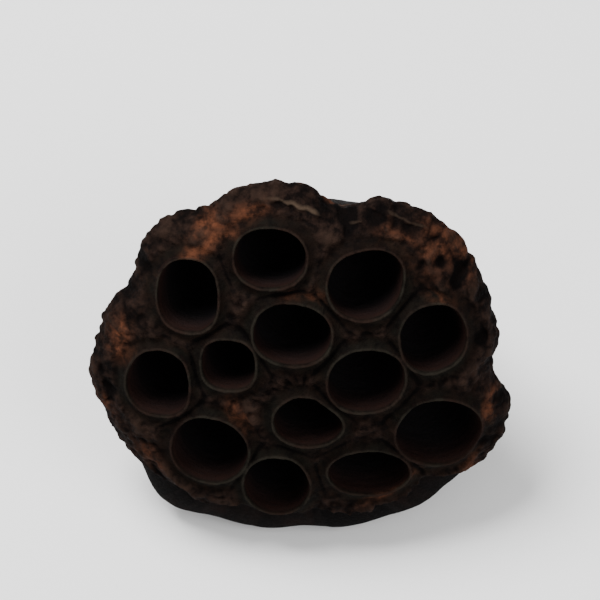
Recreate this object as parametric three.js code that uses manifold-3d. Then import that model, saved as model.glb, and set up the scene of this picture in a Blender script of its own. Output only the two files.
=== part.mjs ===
// Dried lotus pod: the woody, funnel-shaped seed head of the lotus, with its pits empty.
//
// Lengths are in millimetres. The pod is shaped standing on its stalk: the middle of the domed face is
// at the origin and the stalk points straight down. It is then laid on its side, as it comes to rest by
// itself, on two lobes of the rim and on the flank near the stalk. In the finished frame +Z is up, the
// face looks towards -Y and leans back, and the origin is under the middle of the pod, on the surface.
import * as THREE from "three";
import { mergeVertices } from "three/addons/utils/BufferGeometryUtils.js";
import Module from "manifold-3d";

// ---- Driving dimensions ----
const RIM_RADIUS = 43; // middle of the pod to the rim, before the lobes are added
const DOME_RADIUS = 100; // the face is part of a ball this large
const SHOULDER = 0.82; // share of the rim radius where the face starts to roll over
const SHOULDER_DROP = 3.5; // how far the roll falls below the dome at the rim
const STALK_END = 72; // middle of the face to the cut end of the stalk
const PIT_DEPTH = 17; // mouth to bottom
const PIT_LEAN = 0.01; // how much a pit leans to the middle, per millimetre from the middle
const POINT_SHARPNESS = 4; // how narrow the drawn-out corner of a pit's mouth is
const DRIED_TISSUE = 0x3a2a20; // dark brown

// ---- Fineness of the mesh ----
const BODY_SIDES = 72;
const FACE_RINGS = 8;
const FLANK_RINGS = 8;
const PIT_SIDES = 20;
const PIT_CLEARANCE = 5; // how far a pit's cutter stands out of the face

// Lobes and notches of the rim: [direction in degrees, half width in degrees, height]. Direction 0 is
// the pod's right and 90 the top of its face.
const LOBES = [
  [335, 24, 3],
  [359, 12, -3],
  [15, 22, -1.5],
  [50, 16, 1.5],
  [78, 14, -5.5],
  [100, 9, 1],
  [118, 11, -1.2],
  [133, 18, 1.5],
  [152, 14, -2.5],
  [185, 16, 1.5],
  [212, 12, -1],
  [233, 12, 1.8],
  [270, 44, -1.5],
  [271, 13, -2],
];

// Half outline of the flank, from the stalk to the underside of the rim: [radius, height].
const FLANK = [
  [6, -67],
  [10.5, -64],
  [15.5, -58],
  [27.5, -38],
  [37, -21.5],
  [43, -14.5],
];

// The stub of the stalk, from its cut end up: [radius, height].
const STALK = [
  [4, -STALK_END],
  [5.4, -STALK_END + 1],
  [5, -STALK_END + 3.5],
];

// The pits: [right, up, width, height, turn in degrees, squareness, point, its direction in degrees],
// measured on the face at the mouth. A squareness of 2 is an ellipse and a larger one is boxier. The
// point draws the mouth out by that share in its direction, or flattens it there where it is negative.
const PITS = [
  [-23.5, 21, 12.5, 15.5, 0, 2.4, 0, 0],
  [-6.5, 30, 14.5, 12.5, 0, 2.2, 0, 0],
  [13, 24, 15, 14.3, 0, 2.1, 0.17, 42],
  [-30, 0.5, 13.5, 15.8, 0, 2.4, -0.14, 135],
  [-15.2, 6.5, 11, 11.4, 0, 2.5, 0, 0],
  [-2, 14, 15.8, 13.3, -8, 2.2, 0, 0],
  [27.3, 11, 14, 15, 12, 2.2, 0, 0],
  [13.5, 2.8, 15.7, 14.5, 0, 2.2, 0, 0],
  [-19.2, -15.3, 15.8, 17.2, -10, 2.1, 0, 0],
  [1.5, -6.5, 14.5, 12.3, 0, 2.1, -0.26, 42],
  [-5.2, -23.8, 13.4, 16, 0, 2.1, 0, 0],
  [14, -20.9, 17.4, 12, -12, 1.9, 0, 0],
  [28.7, -12, 19, 16, -28, 2.1, 0, 0],
];

// How a pit narrows: [share of its depth, share of its width]. It closes at full depth.
const PIT_PROFILE = [
  [0, 1],
  [0.35, 0.94],
  [0.65, 0.84],
  [0.85, 0.66],
  [0.96, 0.38],
];

// ---- Shape of the pod ----
function degreesApart(a, b) {
  const turn = Math.abs(a - b) % 360;
  return Math.min(turn, 360 - turn);
}

// A smooth hump that is 1 in the middle and 0 from its half width on.
function hump(distance, halfWidth) {
  if (distance >= halfWidth) return 0;
  return (1 + Math.cos((Math.PI * distance) / halfWidth)) / 2;
}

function rimRadius(angle) {
  const degrees = THREE.MathUtils.radToDeg(angle);
  let radius = RIM_RADIUS;
  for (const [direction, halfWidth, height] of LOBES) {
    radius += height * hump(degreesApart(degrees, direction), halfWidth);
  }
  return radius;
}

function faceHeight(radius, rim) {
  const dome = -(radius ** 2) / (2 * DOME_RADIUS);
  const roll = Math.max(0, (radius / rim - SHOULDER) / (1 - SHOULDER));
  return dome - SHOULDER_DROP * roll ** 2;
}

// One ring of the body. The lobes of the rim fade out down the flank.
function bodyRing(heightAt, radius, lobeShare) {
  const ring = [];
  for (let side = 0; side < BODY_SIDES; side += 1) {
    const angle = (2 * Math.PI * side) / BODY_SIDES;
    const lobes = (rimRadius(angle) / RIM_RADIUS - 1) * lobeShare;
    const reach = radius * (1 + lobes);
    ring.push(new THREE.Vector3(reach * Math.cos(angle), reach * Math.sin(angle), heightAt(reach, angle)));
  }
  return ring;
}

function flankRings() {
  const outline = new THREE.SplineCurve(FLANK.map(([radius, height]) => new THREE.Vector2(radius, height)));
  const bottom = FLANK[0][1];
  const top = FLANK[FLANK.length - 1][1];
  return outline.getSpacedPoints(FLANK_RINGS).map((point) => {
    const lobeShare = (point.y - bottom) / (top - bottom);
    return bodyRing(() => point.y, point.x, lobeShare);
  });
}

function faceRings() {
  const rings = [];
  for (let ring = FACE_RINGS; ring > 0; ring -= 1) {
    const share = 1 - (1 - ring / FACE_RINGS) ** 2;
    rings.push(bodyRing((reach, angle) => faceHeight(reach, rimRadius(angle)), RIM_RADIUS * share, 1));
  }
  return rings;
}

// How far the edge of a pit's mouth is from its middle, in a direction.
function mouthReach([, , width, height, , squareness, point, pointing], angle) {
  const across = Math.abs(Math.cos(angle)) / (width / 2);
  const upward = Math.abs(Math.sin(angle)) / (height / 2);
  const round = (across ** squareness + upward ** squareness) ** (-1 / squareness);
  const towardsPoint = Math.max(0, Math.cos(angle - THREE.MathUtils.degToRad(pointing)));
  return round * (1 + point * towardsPoint ** POINT_SHARPNESS);
}

function pitRings(pit) {
  const [right, up, , , turn] = pit;
  const mouth = new THREE.Vector3(right, up, faceHeight(Math.hypot(right, up), RIM_RADIUS));
  const inward = new THREE.Vector3(-right * PIT_LEAN, -up * PIT_LEAN, -1).normalize();
  const turned = new THREE.Quaternion().setFromAxisAngle(
    new THREE.Vector3(0, 0, 1),
    THREE.MathUtils.degToRad(turn),
  );
  const straightDown = new THREE.Vector3(0, 0, -1);
  const leaning = new THREE.Quaternion().setFromUnitVectors(straightDown, inward).multiply(turned);
  const ringAt = (depth, share) => {
    const centre = mouth.clone().addScaledVector(inward, depth);
    const ring = [];
    for (let side = 0; side < PIT_SIDES; side += 1) {
      const angle = (2 * Math.PI * side) / PIT_SIDES;
      const reach = mouthReach(pit, angle) * share;
      const point = new THREE.Vector3(reach * Math.cos(angle), reach * Math.sin(angle), 0);
      ring.push(point.applyQuaternion(leaning).add(centre));
    }
    return ring;
  };
  const bottom = [mouth.clone().addScaledVector(inward, PIT_DEPTH)];
  const wall = PIT_PROFILE.map(([depth, share]) => ringAt(depth * PIT_DEPTH, share));
  return [bottom, ...wall.reverse(), ringAt(-PIT_CLEARANCE, 1)];
}

// ---- From rings to a solid ----
function centreOf(ring) {
  const sum = ring.reduce((total, point) => total.add(point), new THREE.Vector3());
  return sum.divideScalar(ring.length);
}

// Joins rings, listed from the lowest to the highest, into one closed skin that faces outwards.
function closedSkin(rings) {
  const positions = [];
  const addTriangle = (a, b, c) => {
    for (const point of [a, b, c]) positions.push(point.x, point.y, point.z);
  };
  const lowest = centreOf(rings[0]);
  const highest = centreOf(rings[rings.length - 1]);
  const wholeRings = rings.filter((ring) => ring.length > 1);
  const sides = wholeRings[0].length;
  for (let side = 0; side < sides; side += 1) {
    const next = (side + 1) % sides;
    const first = wholeRings[0];
    const last = wholeRings[wholeRings.length - 1];
    addTriangle(lowest, first[next], first[side]);
    for (let ring = 0; ring + 1 < wholeRings.length; ring += 1) {
      const below = wholeRings[ring];
      const above = wholeRings[ring + 1];
      addTriangle(below[side], below[next], above[next]);
      addTriangle(below[side], above[next], above[side]);
    }
    addTriangle(highest, last[side], last[next]);
  }
  const geometry = new THREE.BufferGeometry();
  geometry.setAttribute("position", new THREE.Float32BufferAttribute(positions, 3));
  return mergeVertices(geometry);
}

const wasm = await Module();
wasm.setup();

function toManifold(geometry) {
  const vertProperties = new Float32Array(geometry.attributes.position.array);
  const triVerts = new Uint32Array(geometry.index.array);
  return new wasm.Manifold(new wasm.Mesh({ numProp: 3, vertProperties, triVerts }));
}

function toGeometry(manifold) {
  const mesh = manifold.getMesh();
  const geometry = new THREE.BufferGeometry();
  geometry.setAttribute("position", new THREE.Float32BufferAttribute(mesh.vertProperties, 3));
  geometry.setIndex(new THREE.Uint32BufferAttribute(mesh.triVerts, 1));
  return geometry;
}

function podGeometry() {
  const stalkRings = STALK.map(([radius, height]) => bodyRing(() => height, radius, 0));
  let pod = toManifold(closedSkin([...stalkRings, ...flankRings(), ...faceRings()]));
  for (const pit of PITS) {
    pod = pod.subtract(toManifold(closedSkin(pitRings(pit))));
  }
  return toGeometry(pod);
}

// ---- Laying the pod down ----
// The angle between the pod's middle line and the surface when the lowest point of the rim and the
// flank below it both touch. Points close under the rim are passed over, as part of the same contact.
function restingAngle(geometry) {
  const closeUnder = RIM_RADIUS / 4;
  const position = geometry.attributes.position;
  const points = [];
  for (let index = 0; index < position.count; index += 1) {
    points.push({ up: position.getY(index), height: position.getZ(index) });
  }
  const contact = points.reduce((lowest, point) => (point.up < lowest.up ? point : lowest));
  const below = points.filter((point) => point.height < contact.height - closeUnder);
  const slopes = below.map((point) => (point.up - contact.up) / (contact.height - point.height));
  return Math.atan(Math.min(...slopes));
}

function layDown(geometry) {
  geometry.rotateX(Math.PI / 2 - restingAngle(geometry));
  geometry.computeBoundingBox();
  const box = geometry.boundingBox;
  const middle = box.getCenter(new THREE.Vector3());
  geometry.translate(-middle.x, -middle.y, -box.min.z);
}

const geometry = podGeometry();
layDown(geometry);
geometry.computeVertexNormals();

const driedPod = new THREE.MeshStandardMaterial({ color: DRIED_TISSUE, roughness: 0.9, metalness: 0 });
const pod = new THREE.Mesh(geometry, driedPod);
pod.name = "lotus_pod";

const lotusPod = new THREE.Group();
lotusPod.name = "dried_lotus_pod";
lotusPod.add(pod);

export default lotusPod;
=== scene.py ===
import math

import bpy
import numpy as np
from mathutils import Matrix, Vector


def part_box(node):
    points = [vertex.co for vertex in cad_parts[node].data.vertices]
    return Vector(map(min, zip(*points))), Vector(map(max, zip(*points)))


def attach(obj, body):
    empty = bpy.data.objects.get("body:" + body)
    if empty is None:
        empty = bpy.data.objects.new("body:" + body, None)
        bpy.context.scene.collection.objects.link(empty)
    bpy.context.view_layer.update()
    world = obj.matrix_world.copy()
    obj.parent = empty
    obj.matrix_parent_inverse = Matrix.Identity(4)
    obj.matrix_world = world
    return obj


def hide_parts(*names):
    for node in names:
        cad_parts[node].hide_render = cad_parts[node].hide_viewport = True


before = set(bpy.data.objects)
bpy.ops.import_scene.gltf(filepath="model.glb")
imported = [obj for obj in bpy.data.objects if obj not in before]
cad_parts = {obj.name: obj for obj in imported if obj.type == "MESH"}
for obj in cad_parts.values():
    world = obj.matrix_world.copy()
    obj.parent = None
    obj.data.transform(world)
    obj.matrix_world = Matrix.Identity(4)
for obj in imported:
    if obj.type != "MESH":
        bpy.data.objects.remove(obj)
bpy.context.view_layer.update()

import openvdb
from mathutils import Vector

# A dried lotus pod lying on its side on a pale floor.
#
# The pod is first shaped in its own frame, in millimetres: the middle of the domed face is at the
# origin, x is its right, y the way up its face and z out of the face, so the stalk points to -z.
# The surface is where a field of distances, sampled on a grid, passes through zero. It is then turned
# and moved to lie where the frame's pod lies.

# ---- Sizes ----
BOX_LOW, BOX_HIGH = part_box("lotus_pod")
POD_WIDTH = 87.8  # the pod's width in its own millimetres
MM = (BOX_HIGH.x - BOX_LOW.x) / POD_WIDTH
REST_ANGLE = math.radians(30.5)  # between the pod's middle line and the floor

CELL = 0.3  # step of the grid
FIELD_REACH = 3.0  # distances in the field are cut off at this
RIM_RADIUS = 43
RIM_HEIGHT = -12.5  # of the rim's edge, below the middle of the face
DOME_RADIUS = 100
SHOULDER = 0.82  # share of the rim's radius where the face starts to roll down
SHOULDER_DROP = 3.5  # how far it has rolled down at the rim
FLANK_TOP = -14.5
FLANK_FOOT = -67  # where the flank ends and the stub of the stalk begins
STALK_END = 72  # from the middle of the face to the cut end of the stub
PIT_DEPTH = 17
PIT_LEAN = 0.01  # how much a pit leans outward, for each mm from the middle
POINT_SHARPNESS = 4  # the higher, the narrower the point of a pointed pit

# Lobes and notches of the rim: (direction in degrees, half width in degrees, height).
LOBES = [
    (335, 24, 3.0),
    (359, 12, -3.0),
    (15, 22, -1.5),
    (50, 16, 1.5),
    (78, 14, -5.5),
    (100, 9, 1.0),
    (118, 11, -1.2),
    (133, 18, 1.5),
    (152, 14, -2.5),
    (185, 16, 1.5),
    (212, 12, -1.0),
    (231, 15, 3.2),
    (270, 44, -1.5),
    (271, 13, -1.6),
    (308, 14, 1.2),
]

# Half outline from the cut end of the stalk to the top of the rim: (height, radius).
OUTLINE = [
    (-74, 4.6),
    (-71, 5.4),
    (-69, 4.9),
    (FLANK_FOOT, 6.0),
    (-64, 10.5),
    (-58, 15.5),
    (-38, 27.5),
    (-21.5, 37.0),
    (FLANK_TOP, RIM_RADIUS),
    (4, RIM_RADIUS),
]

# The pits: (right, up, width, height, turn in degrees, squareness, point, its direction in degrees).
PITS = [
    (-23.5, 21, 12.5, 15.5, 0, 2.4, 0, 0),
    (-6.5, 30, 14.5, 12.5, 0, 2.2, 0, 0),
    (13, 24, 15, 14.3, 0, 2.1, 0.17, 42),
    (-30, 0.5, 13.5, 15.8, 0, 2.4, -0.14, 135),
    (-15.2, 6.5, 11, 11.4, 0, 2.5, 0, 0),
    (-2, 14, 15.8, 13.3, -8, 2.2, 0, 0),
    (27.3, 11, 14, 15, 12, 2.2, 0, 0),
    (13.5, 2.8, 15.7, 14.5, 0, 2.2, 0, 0),
    (-19.2, -15.3, 15.8, 17.2, -10, 2.1, 0, 0),
    (1.5, -6.5, 14.5, 12.3, 0, 2.1, -0.26, 42),
    (-5.2, -23.8, 13.4, 16, 0, 2.1, 0, 0),
    (14, -20.9, 17.4, 12, -12, 1.9, 0, 0),
    (28.7, -12, 19, 16, -28, 2.1, 0, 0),
]

# Dents in the margin of the face: (right, up, radius, depth).
DENTS = [
    (32, 23.5, 2.2, 2.0),
    (28, 27, 1.5, 1.5),
    (37, 17.5, 1.4, 1.3),
    (9, 36, 2.8, 1.2),
    (15, 37, 1.8, 0.9),
    (36.5, 8.5, 1.7, 1.6),
    (-36, 19, 1.8, 1.0),
    (-33, 25, 1.3, 1.0),
    (-40, -4, 1.5, 1.1),
    (38, -17, 1.4, 1.0),
]

# Orange patches of the tissue: (direction in degrees, distance from the middle, half length around
# the pod, half width, strength).
PATCHES = [
    (112, 40, 8, 1.3, 1.0),
    (126, 37, 9, 1.2, 1.0),
    (167, 38.5, 5, 2.0, 0.8),
    (193, 42.5, 4, 2.0, 0.6),
    (211, 37, 5, 1.6, 0.4),
    (43, 42.5, 8, 4.5, 0.7),
    (36, 35, 6, 1.5, 0.8),
    (62, 39, 5, 1.5, 0.5),
    (348, 40, 4, 1.5, 0.7),
    (321, 42, 8, 1.5, 0.5),
    (306, 32, 8, 1.2, 0.4),
    (201, 14, 5, 2.0, 0.4),
    (88, 22.5, 5, 1.2, 0.4),
]

LIP_OFFSET = 0.35  # the lip's crest, outside the edge of its pit
LIP_WIDTH = 0.38
LIP_HEIGHT = 0.7
FRINGE_STEP = 1.1  # how far the spongy tissue stands out over the skin of the flank
FRINGE_BELOW_RIM = 5.5  # how far the tissue reaches down the flank
FRINGE_AT_BOTTOM = 0.8  # share of the face that it covers where the pod touches the floor

EDGE_DIRECTION = 75  # degrees around the rim, where its upturned edge is best kept
EDGE_FADE = (12, 36)  # degrees to either side over which the edge fades out
EDGE_INSET = 1.8
EDGE_WIDTH = 0.45
FACE_FADE = (-3.2, -2.2)  # mm from the smooth dome, where the flank's looks turn into the face's
LIP_FADE = (1.0, 1.6)  # mm outside a pit, where a lip that stands on the skin ends
BOTTOM_SMOOTHING = 0.7  # how much of the roughness is gone where the pod touches the floor

FIELD_HALF = 50  # half width of the grid
FIELD_TOP = 5
TURN_STEPS = 1440  # directions that the flank's radius is worked out for
FLANK_SLANT = 0.86  # turns a distance across the flank into one square to it
RIM_ROUNDING = 2.0  # mm over which the face rounds into the flank
END_ROUNDING = 0.8  # the same at the cut end of the stub
MOUTH_ROUNDING = 0.35  # the same at the mouths of the pits
CORNER_ROUNDING = 1.2  # the same at the corners of the half outline
FAR = 99.0  # farther than any distance on the pod
TINY = 1e-6  # keeps a distance from being zero


# ---- Noise ----
def smooth_step(value, start, end):
    """0 up to the start, 1 from the end on, with a smooth change between them."""
    share = np.clip((value - start) / (end - start), 0, 1)
    return share * share * (3 - 2 * share)


LATTICE = 64
FLAT = 0.5  # third coordinate of a noise that only changes over a plane


def value_noise(x, y, z, seed):
    """Smooth random values between -1 and 1 that change over a distance of about 1."""
    lattice = np.random.default_rng(seed).uniform(-1, 1, (LATTICE,) * 3).astype(np.float32)
    axes = np.broadcast_arrays(x, y, z)
    floors = [np.floor(axis) for axis in axes]
    shares = [smooth_step(axis - floor, 0, 1) for axis, floor in zip(axes, floors)]
    low = [floor.astype(np.int64) % LATTICE for floor in floors]
    high = [(index + 1) % LATTICE for index in low]
    total = 0
    for corner in range(8):
        picks = [(corner >> axis) & 1 for axis in range(3)]
        index = [high[axis] if picks[axis] else low[axis] for axis in range(3)]
        weight = 1
        for axis in range(3):
            weight = weight * (shares[axis] if picks[axis] else 1 - shares[axis])
        total = total + weight * lattice[index[0], index[1], index[2]]
    return total


def layered_noise(x, y, z, seed, layers=3):
    """Value noise with finer, weaker layers on top of the first."""
    total = 0
    for layer in range(layers):
        scale = 2**layer
        total = total + value_noise(x * scale, y * scale, z * scale, seed + layer) / scale
    return total


def creased_noise(x, y, z, seed, layers=3):
    """Rounded lumps between sharp creases, from -1 in the creases to 1."""
    total = 0
    for layer in range(layers):
        scale = 2**layer
        total = total + np.abs(value_noise(x * scale, y * scale, z * scale, seed + layer)) / scale
    return np.clip(total * 2.2 - 1, -1, 1)


# ---- Shape of the rim and the flank ----
def stub_share(height):
    """1 on the stub of the stalk and 0 on the flank."""
    return 1 - smooth_step(height, FLANK_FOOT - 0.5, FLANK_FOOT + 1.5)


def bottom_share(angle):
    """1 on the side that the pod lies on, where the skin is pressed smooth, and 0 round the rest."""
    return smooth_step(-np.sin(angle), 0.4, 0.75)


def rim_radius(angle):
    """The radius of the lobed rim in a direction around the pod."""
    degrees = np.degrees(angle) % 360
    radius = RIM_RADIUS + 0 * angle
    for direction, half_width, height in LOBES:
        apart = np.abs((degrees - direction + 180) % 360 - 180)
        inside = apart < half_width
        radius = radius + np.where(inside, height * (1 + np.cos(np.pi * apart / half_width)) / 2, 0)
    east, north = np.cos(angle), np.sin(angle)
    ripples = 0.7 * layered_noise(east * 5, north * 5, FLAT, seed=11)
    ripples = ripples + 0.35 * value_noise(east * 24, north * 24, FLAT, seed=15)
    return radius + ripples * (1 - BOTTOM_SMOOTHING * bottom_share(angle))


def fringe_reach(angle):
    """How far the spongy tissue reaches from the middle, over the face and on down the flank."""
    east, north = np.cos(angle), np.sin(angle)
    rim = rim_radius(angle)
    bottom = bottom_share(angle)
    reach = (rim + FRINGE_BELOW_RIM) * (1 - bottom) + rim * FRINGE_AT_BOTTOM * bottom
    tongues = 1.9 * layered_noise(east * 6, north * 6, FLAT, seed=21)
    crumbs = 1.1 * layered_noise(east * 22, north * 22, FLAT, seed=25, layers=2)
    return reach + (tongues + crumbs) * (1 - 0.3 * bottom)


def tissue_share(angle, reach):
    """1 on the spongy tissue and 0 on the skin."""
    line = fringe_reach(angle)
    return 1 - smooth_step(reach, line - 0.3, line + 0.3)


def reach_on_flank(angle, height):
    """The way from the middle over the rim and down to a height on the flank."""
    return rim_radius(angle) + np.clip(RIM_HEIGHT - height, 0, None)


def outline_table():
    """The half outline in small steps, with its corners rounded."""
    heights = np.arange(-STALK_END - 4, FIELD_TOP, CELL / 2)
    radii = np.interp(heights, *zip(*OUTLINE))
    reach = round(CORNER_ROUNDING / (CELL / 2))
    kernel = np.hanning(2 * reach + 1)
    padded = np.pad(radii, reach, mode="edge")
    return heights, np.convolve(padded, kernel / kernel.sum(), mode="valid")


OUTLINE_HEIGHTS, OUTLINE_RADII = outline_table()


def flank_radius(angle, height):
    """The radius of the flank and the stub, with their folds, ribs, crumbs and knobs."""
    base = np.interp(height, OUTLINE_HEIGHTS, OUTLINE_RADII)
    up_flank = (height - FLANK_FOOT) / (FLANK_TOP - FLANK_FOOT)
    lobe_share = (smooth_step(up_flank, 0, 1) + np.clip(up_flank, 0, 1)) / 2
    radius = base * (1 + (rim_radius(angle) / RIM_RADIUS - 1) * lobe_share)
    east, north = np.cos(angle), np.sin(angle)
    tissue = tissue_share(angle, reach_on_flank(angle, height))
    skin = smooth_step(height, FLANK_FOOT - 0.5, FLANK_FOOT + 2) * (1 - tissue)
    folds = 2.2 * value_noise(east * 3.2, north * 3.2, height / 42, seed=31)
    ribs = 1.0 * rib_relief(angle, height)
    fibres = 0.2 * layered_noise(east * 26, north * 26, height / 20, seed=36, layers=2)
    skin = skin * (1 - BOTTOM_SMOOTHING * bottom_share(angle))
    radius = radius + skin * base / RIM_RADIUS * (folds + ribs + fibres)
    stub = stub_share(height)
    knobs = 0.5 * layered_noise(east * 1.6, north * 1.6, height / 2.2, seed=41)
    rough = stub * (knobs + 0.5 * stub_relief(angle, height))
    rough = rough + 0.55 * tissue * crumb_relief(angle, height)
    step = FRINGE_STEP * (1 - BOTTOM_SMOOTHING * bottom_share(angle))
    return radius + rough - (1 - tissue) * step


def rib_relief(angle, height):
    """Ribs that run up the skin of the flank, from -1 in the creases between them to 1."""
    return creased_noise(np.cos(angle) * 6, np.sin(angle) * 6, height / 55, seed=33, layers=2)


def crumb_relief(angle, height):
    """Crumbs of the fringe, from -1 in the gaps between them to 1."""
    return creased_noise(np.cos(angle) * 16, np.sin(angle) * 16, height / 2.2, seed=45)


def stub_relief(angle, height):
    """The cracked skin of the stub, from -1 in its cracks to 1."""
    return creased_noise(np.cos(angle) * 4, np.sin(angle) * 4, height / 2.4, seed=43)


# ---- Shape of the face ----
def dome_height(radius, rim):
    """The height of the smooth domed face, which rolls down to the rim."""
    roll = np.clip((radius / rim - SHOULDER) / (1 - SHOULDER), 0, None)
    return -(radius**2) / (2 * DOME_RADIUS) - SHOULDER_DROP * roll**2


def pit_axes(pit):
    """The middle of a pit's mouth and the pit's own axes: across, up and out of it."""
    right, up, turn = pit[0], pit[1], math.radians(pit[4])
    mouth = np.array([right, up, dome_height(math.hypot(right, up), RIM_RADIUS)])
    out = np.array([right * PIT_LEAN, up * PIT_LEAN, 1.0])
    out /= np.linalg.norm(out)
    across = np.array([math.cos(turn), math.sin(turn), 0.0])
    across -= out * across.dot(out)
    across /= np.linalg.norm(across)
    return mouth, across, np.cross(out, across), out


def length_along(offset, axis):
    """How far an offset goes in the direction of an axis."""
    return offset[0] * axis[0] + offset[1] * axis[1] + offset[2] * axis[2]


def pit_coordinates(pit, x, y, z):
    """Distance from a pit's middle line, depth below its mouth, direction around it, and the reach of
    the mouth's edge in that direction."""
    mouth, across, upward, out = pit_axes(pit)
    offset = (x - mouth[0], y - mouth[1], z - mouth[2])
    local_x, local_y = length_along(offset, across), length_along(offset, upward)
    _, _, width, height, _, squareness, point, pointing = pit
    direction = np.arctan2(local_y, local_x)
    cos, sin = np.cos(direction), np.sin(direction)
    corners = np.abs(2 * cos / width) ** squareness + np.abs(2 * sin / height) ** squareness
    towards_point = np.clip(np.cos(direction - math.radians(pointing)), 0, None)
    reach = corners ** (-1 / squareness) * (1 + point * towards_point**POINT_SHARPNESS)
    wobble = value_noise(cos * 1.3 + mouth[0], sin * 1.3 + mouth[1], FLAT, seed=51)
    ripple = value_noise(cos * 5 + mouth[0], sin * 5 + mouth[1], FLAT, seed=52)
    reach = reach * (1 + 0.03 * wobble + 0.008 * ripple)
    return np.hypot(local_x, local_y) + TINY, -length_along(offset, out), direction, reach


def pit_share(depth):
    """How wide a pit is at a depth, as a share of its mouth."""
    share = np.clip(depth / PIT_DEPTH, 0, 1)
    return np.sqrt(np.clip(1 - share**3.6, 0, 1)) * (1 - 0.1 * share)


def beyond_pits(x, y):
    """How far a place on the face is outside the edges of the nearest pit and of the next one."""
    nearest = np.full(np.broadcast(x, y).shape, FAR)
    second = nearest.copy()
    height = dome_height(np.hypot(x, y), RIM_RADIUS)
    for pit in PITS:
        distance, _, _, reach = pit_coordinates(pit, x, y, height)
        beyond = distance - reach
        second = np.minimum(second, np.maximum(nearest, beyond))
        nearest = np.minimum(nearest, beyond)
    return nearest, second


def lip_share(beyond):
    """1 on the crest of the lip around a pit, and less beside it."""
    return np.exp(-(((beyond - LIP_OFFSET) / LIP_WIDTH) ** 2))


def edge_share(radius, angle):
    """The thin upturned edge that the rim keeps in places, most of all at the top of the face."""
    away = np.abs((np.degrees(angle) - EDGE_DIRECTION + 180) % 360 - 180)
    kept = 1 - smooth_step(away, *EDGE_FADE)
    broken = smooth_step(value_noise(np.cos(angle) * 9, np.sin(angle) * 9, FLAT, seed=55), -0.5, 0.2)
    wander = 0.9 * value_noise(np.cos(angle) * 7, np.sin(angle) * 7, FLAT, seed=56)
    beyond = radius - rim_radius(angle) + EDGE_INSET + wander
    return kept * broken * np.exp(-((beyond / EDGE_WIDTH) ** 2))


def orange_share(x, y):
    """How orange the tissue of the face is at a place."""
    radius, angle = np.hypot(x, y), np.arctan2(y, x)
    radius = radius + 0.9 * layered_noise(x / 4, y / 4, FLAT, seed=101)
    total = 0
    for direction, distance, half_length, half_width, strength in PATCHES:
        around = (angle - math.radians(direction) + math.pi) % (2 * math.pi) - math.pi
        along = around * distance / half_length
        total = total + strength * np.exp(-(along**4) - ((radius - distance) / half_width) ** 2)
    streaks = layered_noise(np.cos(angle) * 5, np.sin(angle) * 5, radius / 1.3, seed=105, layers=2)
    return np.clip(total * (1 + 0.8 * streaks), 0, 1)


def face_detail(x, y):
    """The fine shape of the face: its height in mm, its relief from about -1 to 1, and how much of
    the lip, the edge and the margin there is."""
    nearest, second = beyond_pits(x, y)
    radius, angle = np.hypot(x, y), np.arctan2(y, x)
    east, north = np.cos(angle), np.sin(angle)
    margin = smooth_step(nearest, 1.2, 4.2)
    warp_x = x + 2.4 * value_noise(x / 6, y / 6, FLAT, seed=57)
    warp_y = y + 2.4 * value_noise(x / 6, y / 6, FLAT, seed=58)
    lumps = creased_noise(warp_x / 5.5, warp_y / 5.5, FLAT, seed=61, layers=3)
    warts = creased_noise(warp_x / 2.4, warp_y / 2.4, FLAT, seed=65, layers=2)
    strands = layered_noise(east * 6, north * 6, radius / 1.9, seed=71, layers=2)
    rough = 0.5 * lumps + 0.35 * warts + 0.55 * strands
    wrinkles = value_noise(warp_x / 1.6, warp_y / 1.6, FLAT, seed=75)
    wrinkles = wrinkles + 0.6 * value_noise(x / 0.9, y / 0.9, FLAT, seed=76)
    seam = (1 - smooth_step(second - nearest, 0, 1.3)) * (1 - smooth_step(nearest, 2.5, 4.5))
    seam = seam * smooth_step(nearest, 0.8, 1.3)
    uneven = 1 + 0.35 * value_noise(x / 5, y / 5, FLAT, seed=81)
    uneven = uneven + 0.2 * value_noise(x / 1.3, y / 1.3, FLAT, seed=82)
    lip = lip_share(nearest) * uneven
    dents = 0
    for right, up, size, depth in DENTS:
        away = np.hypot(warp_x - right, y - up) / size
        dents = dents + depth * np.exp(-(away**3))
    edge = edge_share(radius, angle)
    sunk_web = 0.8 * smooth_step(nearest, 0.6, 2.6) * (1 - margin)
    height = LIP_HEIGHT * lip - sunk_web - 0.3 * seam
    height = height + 1.15 * margin * rough + 0.2 * (1 - margin) * wrinkles - dents + 0.8 * edge
    relief = margin * rough + (1 - margin) * 0.35 * wrinkles - 0.8 * seam - dents
    return {"height": height, "relief": relief, "lip": lip, "edge": edge, "margin": margin}


def face_height(x, y):
    """The height of the face with all its relief."""
    radius, angle = np.hypot(x, y), np.arctan2(y, x)
    tissue = tissue_share(angle, radius)
    # Next to a pit its lip stays whole, even past the ragged end of the tissue.
    nearest, _ = beyond_pits(x, y)
    tissue = np.maximum(tissue, 1 - smooth_step(nearest, *LIP_FADE))
    height = dome_height(radius, rim_radius(angle))
    return height + tissue * face_detail(x, y)["height"] - (1 - tissue) * FRINGE_STEP


# ---- The pod's surface ----
def smooth_max(a, b, blend):
    """The larger of two values, with a rounded change from one to the other."""
    share = np.clip(0.5 + 0.5 * (a - b) / blend, 0, 1)
    return b + (a - b) * share + blend * share * (1 - share)


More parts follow.
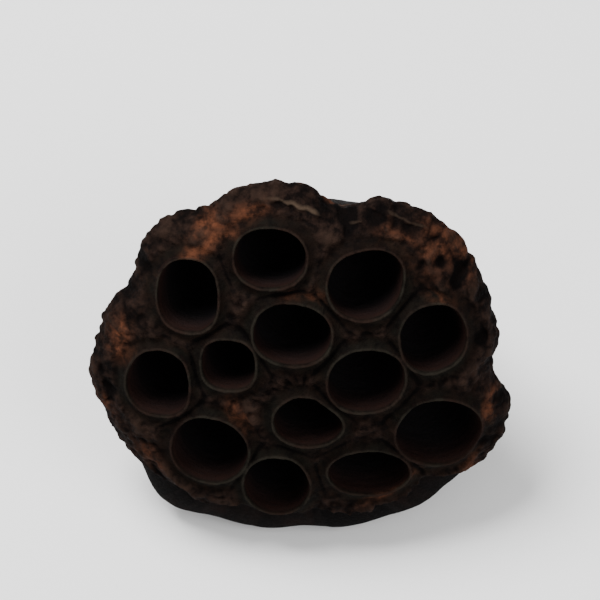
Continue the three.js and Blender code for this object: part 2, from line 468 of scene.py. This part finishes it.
def carve_pit(field, pit, xs, ys, zs):
    """Takes a pit out of the field, in the block of the grid around it."""
    mouth, _, _, out = pit_axes(pit)
    bottom = mouth - out * PIT_DEPTH
    spread = max(pit[2], pit[3]) / 2 + 3
    spans = []
    for axis, values in enumerate((xs, ys, zs)):
        low = min(mouth[axis], bottom[axis]) - (spread if axis < 2 else 2)
        high = max(mouth[axis], bottom[axis]) + (spread if axis < 2 else 5)
        spans.append(slice(*np.searchsorted(values, (low, high))))
    x = xs[spans[0], None, None]
    y = ys[None, spans[1], None]
    z = zs[None, None, spans[2]]
    distance, depth, direction, reach = pit_coordinates(pit, x, y, z)
    rings = 0.1 * value_noise(np.cos(direction) * 2, np.sin(direction) * 2, depth / 0.9, seed=91)
    inside = reach * pit_share(depth) + rings * smooth_step(depth, 0.5, 3) - distance
    field[tuple(spans)] = smooth_max(field[tuple(spans)], inside, MOUTH_ROUNDING)


def pod_field():
    """Distances from the pod's surface on the grid, above zero outside, and the grid's first corner."""
    xs = np.arange(-FIELD_HALF, FIELD_HALF, CELL)
    zs = np.arange(-STALK_END - 3, FIELD_TOP, CELL)
    x, y = xs[:, None], xs[None, :]
    face = face_height(x, y)
    turns = np.linspace(-math.pi, math.pi, TURN_STEPS + 1)
    flank = flank_radius(turns[:, None], zs[None, :]).astype(np.float32)
    angle, radius = np.arctan2(y, x), np.hypot(x, y)
    place = (angle + math.pi) / (2 * math.pi) * TURN_STEPS
    first = np.minimum(place.astype(np.int64), TURN_STEPS - 1)
    share = (place - first)[:, :, None].astype(np.float32)
    around = flank[first] * (1 - share) + flank[first + 1] * share
    above = (zs[None, None, :] - face[:, :, None]).astype(np.float32)
    outside = (radius[:, :, None].astype(np.float32) - around) * FLANK_SLANT
    field = smooth_max(above, outside, RIM_ROUNDING)
    cut_end = 0.5 * layered_noise(x / 2, y / 2, FLAT, seed=95)
    below = (cut_end[:, :, None] - STALK_END - zs[None, None, :]).astype(np.float32)
    field = smooth_max(field, below, END_ROUNDING)
    for pit in PITS:
        carve_pit(field, pit, xs, xs, zs)
    return field, np.array([xs[0], xs[0], zs[0]])


def surface_of(field, corner):
    """The surface's points and its faces, all quads, with their outer sides out."""
    grid = openvdb.FloatGrid(FIELD_REACH)
    grid.copyFromArray(np.clip(field, -FIELD_REACH, FIELD_REACH).astype(np.float32))
    points, _, quads = grid.convertToPolygons(isovalue=0.0, adaptivity=0.0)
    points, quads = largest_piece(points, quads)
    return points * CELL + corner, quads.tolist()


def largest_piece(points, quads):
    """The surface without the loose crumbs that rough skin leaves beside it."""
    first, second = quads.ravel(), np.roll(quads, 1, axis=1).ravel()
    labels = np.arange(len(points))
    settled = False
    while not settled:
        lower = np.minimum(labels[first], labels[second])
        joined = labels.copy()
        np.minimum.at(joined, labels[first], lower)
        np.minimum.at(joined, labels[second], lower)
        joined = joined[joined]
        settled = np.array_equal(joined, labels)
        labels = joined
    kept = labels == np.bincount(labels).argmax()
    numbers = np.cumsum(kept) - 1
    return points[kept], numbers[quads[kept[quads[:, 0]]]]


# ---- Where each kind of surface is ----
def pit_facts(points, grain):
    """How deep each point is in its pit, as a share, the pit's number or -1, and the grain there."""
    x, y, z = points.T
    pit_depth = np.zeros(len(points))
    pit_numbers = np.full(len(points), -1)
    for number, pit in enumerate(PITS):
        distance, depth, direction, edge = pit_coordinates(pit, x, y, z)
        in_pit = (distance < edge * pit_share(depth) + 0.9) & (depth > 0.2) & (depth < PIT_DEPTH + 1)
        pit_depth = np.where(in_pit, np.clip(depth / PIT_DEPTH, 0.01, 1), pit_depth)
        pit_numbers[in_pit] = number
        rings = np.stack([np.cos(direction) * 3, np.sin(direction) * 3, depth / 0.5], axis=1)
        grain = np.where(in_pit[:, None], rings, grain)
    return pit_depth, pit_numbers, grain


def surface_facts(points):
    """Numbers for the material at each point of the surface, with the number of the pit that it is
    in, and 1 on the face and 0 on the flank."""
    x, y, z = points.T
    angle, radius = np.arctan2(y, x), np.hypot(x, y)
    east, north = np.cos(angle), np.sin(angle)
    grain = np.stack([east * 26, north * 26, z / 26], axis=1)
    detail = face_detail(x, y)
    on_top = smooth_step(z - dome_height(radius, rim_radius(angle)), *FACE_FADE)
    reach = np.where(on_top > 0.5, radius, reach_on_flank(angle, z))
    nearest, _ = beyond_pits(x, y)
    kept_lip = (1 - smooth_step(nearest, *LIP_FADE)) * on_top
    band = smooth_step(layered_noise(east * 9, north * 9, z / 5, seed=111), -0.3, 0.5)
    below_fringe = np.clip(reach - fringe_reach(angle), 0, None)
    stub = stub_share(z)
    above_end = fringe_reach(angle) - reach
    crumb_edge = smooth_step(above_end, -0.3, 0.3) * (1 - smooth_step(above_end, 1.0, 3.0))
    broken = layered_noise(east * 17, north * 17, z / 3, seed=115)
    crumb_edge = crumb_edge * smooth_step(broken, -0.3, 0.5)
    tissue = np.maximum(tissue_share(angle, reach), kept_lip)
    side_relief = tissue * crumb_relief(angle, z) + (1 - tissue) * rib_relief(angle, z)
    side_relief = stub * stub_relief(angle, z) + (1 - stub) * side_relief
    pit_depth, pit_numbers, grain = pit_facts(points, grain)
    facts = {
        "tissue": tissue,
        "pit": pit_depth,
        "lip": detail["lip"] * on_top,
        "edge": detail["edge"] * on_top,
        "relief": detail["relief"] * on_top + 0.7 * side_relief * (1 - on_top),
        "margin": detail["margin"] * on_top + (1 - on_top),
        "orange": orange_share(x, y) * on_top + 0.7 * band * (1 - on_top),
        "stub": stub,
        # Painted shadow on the flank just below the overhanging fringe, fading over a few mm and left
        # off the bottom.
        "painted_fringe_shadow": np.exp(-below_fringe / 4) * (1 - bottom_share(angle)),
        "bottom": bottom_share(angle),
        "fringe": crumb_edge * (1 - on_top),
        "grain": grain,
    }
    return facts, pit_numbers, on_top


def pod_mesh():
    """The pod's mesh where the frame's pod lies, with what the material and the baking need."""
    points, faces = surface_of(*pod_field())
    facts, pit_numbers, on_top = surface_facts(points)
    tilt = np.array(
        [
            [1, 0, 0],
            [0, math.sin(REST_ANGLE), -math.cos(REST_ANGLE)],
            [0, math.cos(REST_ANGLE), math.sin(REST_ANGLE)],
        ]
    )
    lying = points @ tilt.T * MM
    low, high = lying.min(axis=0), lying.max(axis=0)
    middle = (np.array(BOX_LOW) + np.array(BOX_HIGH)) / 2
    shift = middle - (low + high) / 2
    shift[2] = BOX_LOW.z - low[2]
    mesh = bpy.data.meshes.new("lotus_pod_surface")
    mesh.from_pydata((lying + shift).tolist(), [], faces)
    mesh.polygons.foreach_set("use_smooth", np.ones(len(mesh.polygons), dtype=bool))
    for name, values in facts.items():
        if values.ndim == 2:
            attribute = mesh.attributes.new(name, "FLOAT_VECTOR", "POINT")
            attribute.data.foreach_set("vector", values.astype(np.float32).ravel())
        else:
            attribute = mesh.attributes.new(name, "FLOAT", "POINT")
            attribute.data.foreach_set("value", values.astype(np.float32))
    bake_map(mesh, points, pit_numbers, on_top)
    return mesh


# ---- The map for baking ----
# A square split into a disc for the face, a disc for the flank and a small disc for each pit.
FACE_HALF = 0.29  # half side of the face's share of the map
FLANK_HALF = 0.21
PIT_COLUMNS = 7
PIT_HALF = 0.5 / PIT_COLUMNS
FACE_REACH = 51  # mm from the middle of a disc to the edge of its share
FLANK_REACH = 82
PIT_REACH = 18.5


def flank_place(x, y, z):
    """The flank laid out as a disc around the stalk."""
    radius = np.hypot(x, y) + TINY
    spread = (radius + 0.4 * (z + STALK_END)) / radius
    return np.stack([x * spread, y * spread], axis=1) / FLANK_REACH


def pit_place(pit, x, y, z):
    """A pit laid out as a disc around its bottom."""
    distance, depth, direction, _ = pit_coordinates(pit, x, y, z)
    out = 0.5 * distance + 0.6 * np.clip(PIT_DEPTH - depth, 0, None)
    return np.stack([out * np.cos(direction), out * np.sin(direction)], axis=1) / PIT_REACH


def bake_map(mesh, points, pit_numbers, on_top):
    """The pod's map. Its faces go with the pit, the face or the flank that their corners are on."""
    corners = np.empty(len(mesh.loops), np.int32)
    mesh.loops.foreach_get("vertex_index", corners)
    sizes = np.empty(len(mesh.polygons), np.int32)
    mesh.polygons.foreach_get("loop_total", sizes)
    starts = np.concatenate([[0], np.cumsum(sizes)[:-1]])
    in_pit = np.repeat(np.maximum.reduceat(pit_numbers[corners], starts), sizes)
    is_face = np.repeat(np.minimum.reduceat(on_top[corners], starts), sizes) > 0.5
    x, y, z = points[corners].T
    face = np.stack([x, y], axis=1) / FACE_REACH * FACE_HALF + FACE_HALF
    flank = flank_place(x, y, z) * FLANK_HALF + [1 - FLANK_HALF, FLANK_HALF]
    places = np.where(is_face[:, None], face, flank)
    for number, pit in enumerate(PITS):
        row, column = divmod(number, PIT_COLUMNS)
        middle = [(2 * column + 1) * PIT_HALF, 1 - (2 * row + 1) * PIT_HALF]
        chosen = in_pit == number
        places[chosen] = pit_place(pit, x[chosen], y[chosen], z[chosen]) * PIT_HALF + middle
    layer = mesh.uv_layers.new(name="OFBake")
    layer.uv.foreach_set("vector", places.astype(np.float32).ravel())


# ---- Material helpers ----
def from_screen(red, green, blue):
    """A colour from its 0 to 255 screen values."""
    shares = (value / 255 for value in (red, green, blue))
    return tuple(((share + 0.055) / 1.055) ** 2.4 for share in shares) + (1.0,)


class Nodes:
    """Short ways to add nodes to a material. A value may be a socket or a plain number or colour."""

    def __init__(self, material):
        material.use_nodes = True
        self.tree = material.node_tree
        self.shader = self.tree.nodes["Principled BSDF"]

    def link(self, value, socket):
        """Joins a socket to an input, or sets the input to a plain value."""
        if isinstance(value, bpy.types.NodeSocket):
            self.tree.links.new(value, socket)
        else:
            socket.default_value = value

    def fact(self, name):
        """One of the numbers that surface_facts has put on the mesh."""
        node = self.tree.nodes.new("ShaderNodeAttribute")
        node.attribute_name = name
        return node.outputs["Vector"] if name == "grain" else node.outputs["Fac"]

    def place(self):
        """The place on the pod."""
        return self.tree.nodes.new("ShaderNodeTexCoord").outputs["Object"]

    def noise(self, where, scale, detail=4, roughness=0.55):
        node = self.tree.nodes.new("ShaderNodeTexNoise")
        self.link(where, node.inputs["Vector"])
        node.inputs["Scale"].default_value = scale
        node.inputs["Detail"].default_value = detail
        node.inputs["Roughness"].default_value = roughness
        return node.outputs["Fac"]

    def spread(self, value, low, high, start=0.0, end=1.0):
        """A value from low to high, spread from start to end and held there beyond them."""
        node = self.tree.nodes.new("ShaderNodeMapRange")
        node.clamp = True
        self.link(value, node.inputs["Value"])
        node.inputs["From Min"].default_value = low
        node.inputs["From Max"].default_value = high
        node.inputs["To Min"].default_value = start
        node.inputs["To Max"].default_value = end
        return node.outputs["Result"]

    def math(self, operation, a, b):
        node = self.tree.nodes.new("ShaderNodeMath")
        node.operation = operation
        self.link(a, node.inputs[0])
        self.link(b, node.inputs[1])
        return node.outputs[0]

    def mix(self, share, a, b):
        """A mix of two colours, which the Mix node takes at its inputs 6 and 7."""
        node = self.tree.nodes.new("ShaderNodeMix")
        node.data_type = "RGBA"
        self.link(share, node.inputs["Factor"])
        self.link(a, node.inputs[6])
        self.link(b, node.inputs[7])
        return node.outputs[2]

    def bump(self, height, distance, strength, normal=None):
        node = self.tree.nodes.new("ShaderNodeBump")
        self.link(height, node.inputs["Height"])
        node.inputs["Distance"].default_value = distance
        node.inputs["Strength"].default_value = strength
        if normal is not None:
            self.link(normal, node.inputs["Normal"])
        return node.outputs["Normal"]


# ---- Dried pod material ----
WEB_BROWN = from_screen(20, 14, 11)
WEB_OLIVE = from_screen(18, 16, 13)
WEB_DARK = from_screen(9, 7, 7)
MARGIN_DARK = from_screen(13, 9, 8)
MARGIN_GREY = from_screen(34, 24, 20)
ORANGE = from_screen(80, 47, 32)
ORANGE_BROWN = from_screen(37, 23, 17)
# Painted highlight, put on the tops of the tissue's bumps.
BUMP_TOP_HIGHLIGHT = from_screen(46, 34, 28)
# Painted shade, put in crevices, creases and cracks.
CREVICE_SHADE = from_screen(6, 4, 4)
LIP_GREY = from_screen(34, 31, 26)
LIP_TAN = from_screen(35, 25, 21)
# The rim's thin upturned edge: partly its own pale papery colour, partly a painted highlight where it
# catches the light.
RIM_EDGE_AND_HIGHLIGHT = from_screen(66, 54, 44)
FRINGE_TAN = from_screen(84, 60, 45)
PIT_MOUTH = from_screen(32, 20, 17)
# Painted shade deep in the pits, also used for the dark streaks of the rings in their walls.
PIT_DEEP_SHADE_AND_STREAKS = from_screen(20, 18, 19)
SKIN_DARK = from_screen(8, 7, 7)
SKIN_LIGHT = from_screen(19, 15, 14)
SKIN_BROWN = from_screen(22, 14, 12)
VEIN = from_screen(30, 26, 25)
STUB_DARK = from_screen(26, 15, 11)
STUB_LIGHT = from_screen(64, 38, 26)


def tissue_colour(nodes, patches, specks):
    """The spongy tissue of the face and its fringe, with painted highlights on the tops of its bumps
    and painted shade in its crevices.
    """
    relief = nodes.fact("relief")
    web = nodes.mix(nodes.spread(patches, 0.42, 0.6), WEB_BROWN, WEB_OLIVE)
    web = nodes.mix(nodes.spread(specks, 0.34, 0.54, 0.75, 0.0), web, WEB_DARK)
    margin = nodes.mix(nodes.spread(specks, 0.4, 0.62), MARGIN_DARK, MARGIN_GREY)
    tissue = nodes.mix(nodes.fact("margin"), web, margin)
    orange = nodes.math("MULTIPLY", nodes.fact("orange"), nodes.spread(relief, -0.8, -0.1, 0.3, 1.0))
    tissue = nodes.mix(orange, tissue, nodes.mix(nodes.spread(specks, 0.4, 0.6), ORANGE_BROWN, ORANGE))
    tissue = nodes.mix(nodes.spread(nodes.fact("fringe"), 0.0, 1.0, 0.0, 0.7), tissue, FRINGE_TAN)
    # Painted highlight: the tissue turns paler on the tops of its bumps.
    tissue = nodes.mix(nodes.spread(relief, 0.15, 0.8, 0.0, 0.6), tissue, BUMP_TOP_HIGHLIGHT)
    # Painted shade: the tissue darkens in its crevices and in the seams between lips.
    tissue = nodes.mix(nodes.spread(relief, -0.7, 0.0, 0.92, 0.0), tissue, CREVICE_SHADE)
    lip = nodes.mix(nodes.spread(patches, 0.42, 0.58), LIP_TAN, LIP_GREY)
    crest = nodes.math("MULTIPLY", nodes.fact("lip"), nodes.spread(specks, 0.3, 0.55, 0.55, 1.0))
    tissue = nodes.mix(nodes.spread(crest, 0.25, 0.9, 0.0, 0.85), tissue, lip)
    # The thin upturned edge turns pale: partly its own papery colour, partly a painted highlight.
    return nodes.mix(nodes.spread(nodes.fact("edge"), 0.3, 0.9, 0.0, 0.8), tissue, RIM_EDGE_AND_HIGHLIGHT)


def skin_colour(nodes, patches, grain):
    """The thin skin of the flank, streaked along its fibres, with a few pale veins, painted shade in
    the creases between its ribs and a painted shadow just below the fringe.
    """
    broad = nodes.noise(nodes.fact("grain"), 0.25, 3, 0.5)
    veins = nodes.noise(nodes.fact("grain"), 0.7, 3, 0.55)
    relief = nodes.fact("relief")
    skin = nodes.mix(nodes.spread(grain, 0.36, 0.66), SKIN_DARK, SKIN_LIGHT)
    skin = nodes.mix(nodes.spread(patches, 0.45, 0.65, 0.0, 0.7), skin, SKIN_BROWN)
    skin = nodes.mix(nodes.spread(broad, 0.38, 0.58, 0.8, 0.0), skin, SKIN_DARK)
    on_ribs = nodes.spread(relief, -0.4, 0.3, 0.15, 0.75)
    off_bottom = nodes.spread(nodes.fact("bottom"), 0.0, 1.0, 1.0, 0.3)
    pale = nodes.math("MULTIPLY", nodes.spread(veins, 0.54, 0.66), on_ribs)
    pale = nodes.math("MULTIPLY", pale, off_bottom)
    skin = nodes.mix(pale, skin, VEIN)
    # Painted shade: the skin darkens in the creases between its ribs.
    skin = nodes.mix(nodes.spread(relief, -0.65, -0.3, 0.7, 0.0), skin, CREVICE_SHADE)
    # Painted shadow: the skin turns dark just below the overhanging fringe.
    return nodes.mix(nodes.spread(nodes.fact("painted_fringe_shadow"), 0.3, 1.0, 0.0, 0.85), skin, SKIN_DARK)


def dried_pod_material():
    """One material for the whole pod, which the facts of its surface turn from one kind to another."""
    material = bpy.data.materials.new("dried_pod")
    nodes = Nodes(material)
    place = nodes.place()
    grain = nodes.noise(nodes.fact("grain"), 1.0, 5, 0.6)
    fine = nodes.noise(place, 1.6 / MM, 4, 0.6)
    patches = nodes.noise(place, 0.13 / MM, 3, 0.5)
    specks = nodes.noise(place, 0.5 / MM, 5, 0.65)
    pit = nodes.fact("pit")

    tissue = tissue_colour(nodes, patches, specks)
    stub = nodes.mix(nodes.spread(specks, 0.35, 0.65), STUB_DARK, STUB_LIGHT)
    # Painted shade: the stub darkens in its cracks.
    stub = nodes.mix(nodes.spread(nodes.fact("relief"), -0.7, 0.0, 0.9, 0.0), stub, CREVICE_SHADE)
    # Painted shade: a pit's wall darkens with depth; its rings of streaks take the same dark colour.
    wall = nodes.mix(nodes.spread(pit, 0.1, 0.5), PIT_MOUTH, PIT_DEEP_SHADE_AND_STREAKS)
    wall = nodes.mix(nodes.spread(grain, 0.35, 0.65, 0.0, 0.4), wall, PIT_DEEP_SHADE_AND_STREAKS)
    colour = nodes.mix(nodes.fact("tissue"), skin_colour(nodes, patches, grain), tissue)
    colour = nodes.mix(nodes.fact("stub"), colour, stub)
    colour = nodes.mix(nodes.spread(pit, 0.0, 0.06), colour, wall)
    nodes.link(colour, nodes.shader.inputs["Base Color"])
    nodes.link(nodes.spread(fine, 0.3, 0.7, 0.65, 0.9), nodes.shader.inputs["Roughness"])
    nodes.shader.inputs["Specular IOR Level"].default_value = 0.015
    bumps = nodes.bump(grain, 0.3 * MM, 0.6)
    nodes.link(nodes.bump(fine, 0.4 * MM, 0.7, bumps), nodes.shader.inputs["Normal"])
    return material


# ---- The pod ----
pod = bpy.data.objects.new("lotus_pod_looks", pod_mesh())
bpy.context.collection.objects.link(pod)
pod.data.materials.append(dried_pod_material())
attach(pod, "root")
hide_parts("lotus_pod")


# ---- Floor, light and camera ----
POD_MIDDLE = (BOX_LOW + BOX_HIGH) / 2
FLOOR_SIZE = 6
WORLD_STRENGTH = 0.66
CAMERA_ELEVATION = math.radians(61)
CAMERA_DISTANCE = 1.6
SENSOR_WIDTH = 36
FRAME_SHARE = 0.7  # share of the picture's width that the pod fills


def add_floor():
    """A plain pale floor, which is only there for the picture."""
    bpy.ops.mesh.primitive_plane_add(size=FLOOR_SIZE, location=(0, 0, 0))
    floor = bpy.context.object
    floor.name = "floor"
    material = bpy.data.materials.new("pale_floor")
    nodes = Nodes(material)
    nodes.shader.inputs["Base Color"].default_value = (0.92, 0.92, 0.92, 1)
    nodes.shader.inputs["Roughness"].default_value = 0.9
    floor.data.materials.append(material)


def aim(thing, location):
    """Puts a light or the camera in its place, looking at the middle of the pod."""
    thing.location = location
    thing.rotation_euler = (POD_MIDDLE - location).to_track_quat("-Z", "Y").to_euler()


def add_light(name, location, size, power):
    """A round soft light, its width in metres and its power in watts, aimed at the pod."""
    data = bpy.data.lights.new(name, "AREA")
    data.shape = "DISK"
    data.size = size
    data.energy = power
    light = bpy.data.objects.new(name, data)
    bpy.context.collection.objects.link(light)
    aim(light, location)


add_floor()
add_light("key", Vector((-0.35, 0.25, 0.9)), 0.5, 18)
add_light("fill", Vector((0.6, -0.5, 0.8)), 0.8, 6)

world = bpy.data.worlds.new("studio")
world.use_nodes = True
world.node_tree.nodes["Background"].inputs["Color"].default_value = (1, 1, 1, 1)
world.node_tree.nodes["Background"].inputs["Strength"].default_value = WORLD_STRENGTH
bpy.context.scene.world = world

camera_data = bpy.data.cameras.new("camera")
camera_data.sensor_width = SENSOR_WIDTH
camera_data.lens = SENSOR_WIDTH * CAMERA_DISTANCE * FRAME_SHARE / (BOX_HIGH.x - BOX_LOW.x)
camera = bpy.data.objects.new("camera", camera_data)
bpy.context.collection.objects.link(camera)
towards_camera = Vector((0, -math.cos(CAMERA_ELEVATION), math.sin(CAMERA_ELEVATION)))
aim(camera, POD_MIDDLE + CAMERA_DISTANCE * towards_camera)
bpy.context.scene.camera = camera
